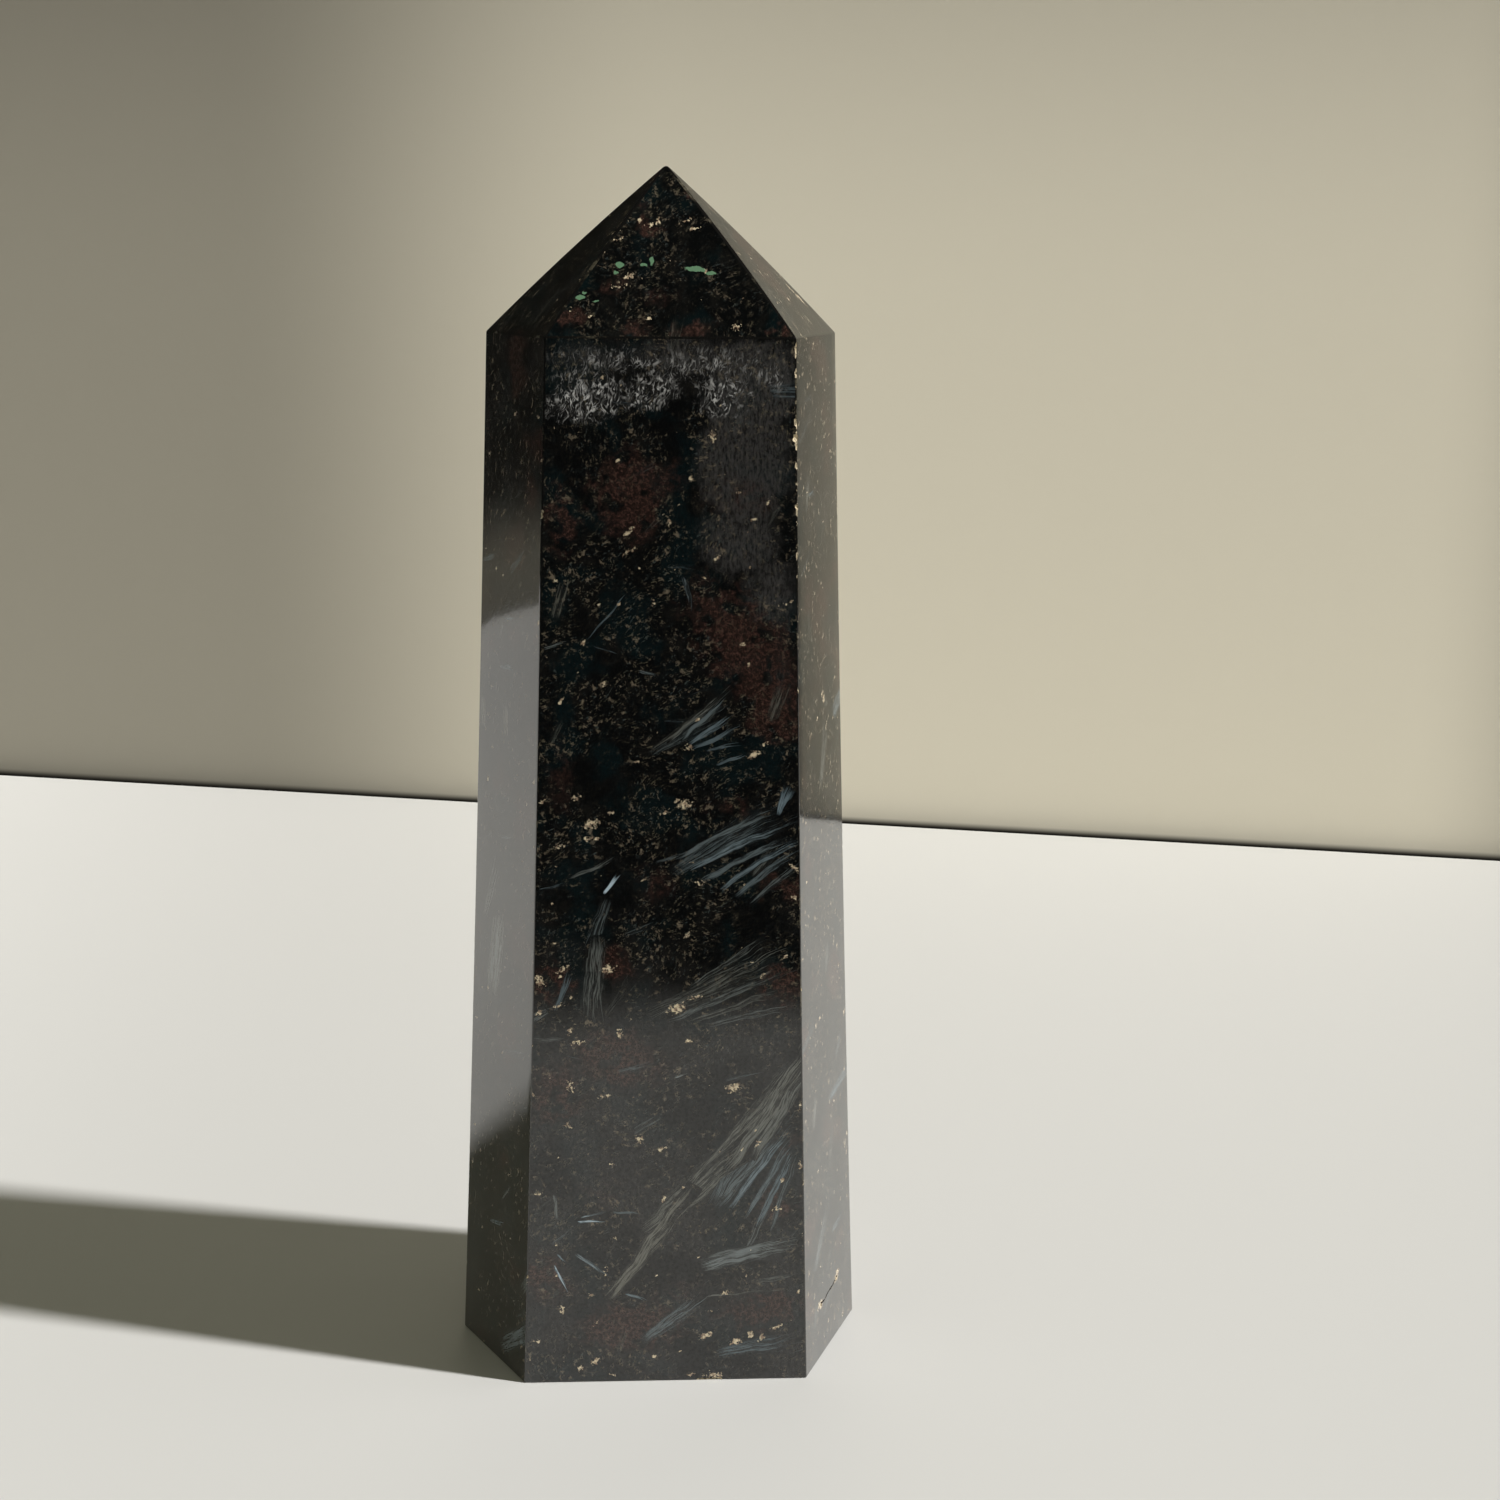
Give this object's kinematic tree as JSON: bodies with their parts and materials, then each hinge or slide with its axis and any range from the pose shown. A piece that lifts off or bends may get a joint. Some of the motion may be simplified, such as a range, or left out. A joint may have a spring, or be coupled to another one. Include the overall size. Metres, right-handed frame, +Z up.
{
  "type": "arfvedsonite generator point",
  "caption": "Polished tower of black arfvedsonite with tapered side faces, a pyramid tip and a flat base to stand on.",
  "frame": {"origin": "middle of the flat base, on the surface that the stone stands on", "axes": "+Z up along the tower to the tip; -Y is the way the broad front face looks; +X to that face's right"},
  "size_m": [0.0554, 0.0386, 0.1608],
  "materials": {
    "polished_arfvedsonite": "mirror-polished near-black stone with felted fibres, blue-grey needle sprays, garnet-red clouds and cream flecks"
  },
  "bodies": {
    "root": {"arfvedsonite_point": "polished_arfvedsonite"}
  },
  "joints": []
}
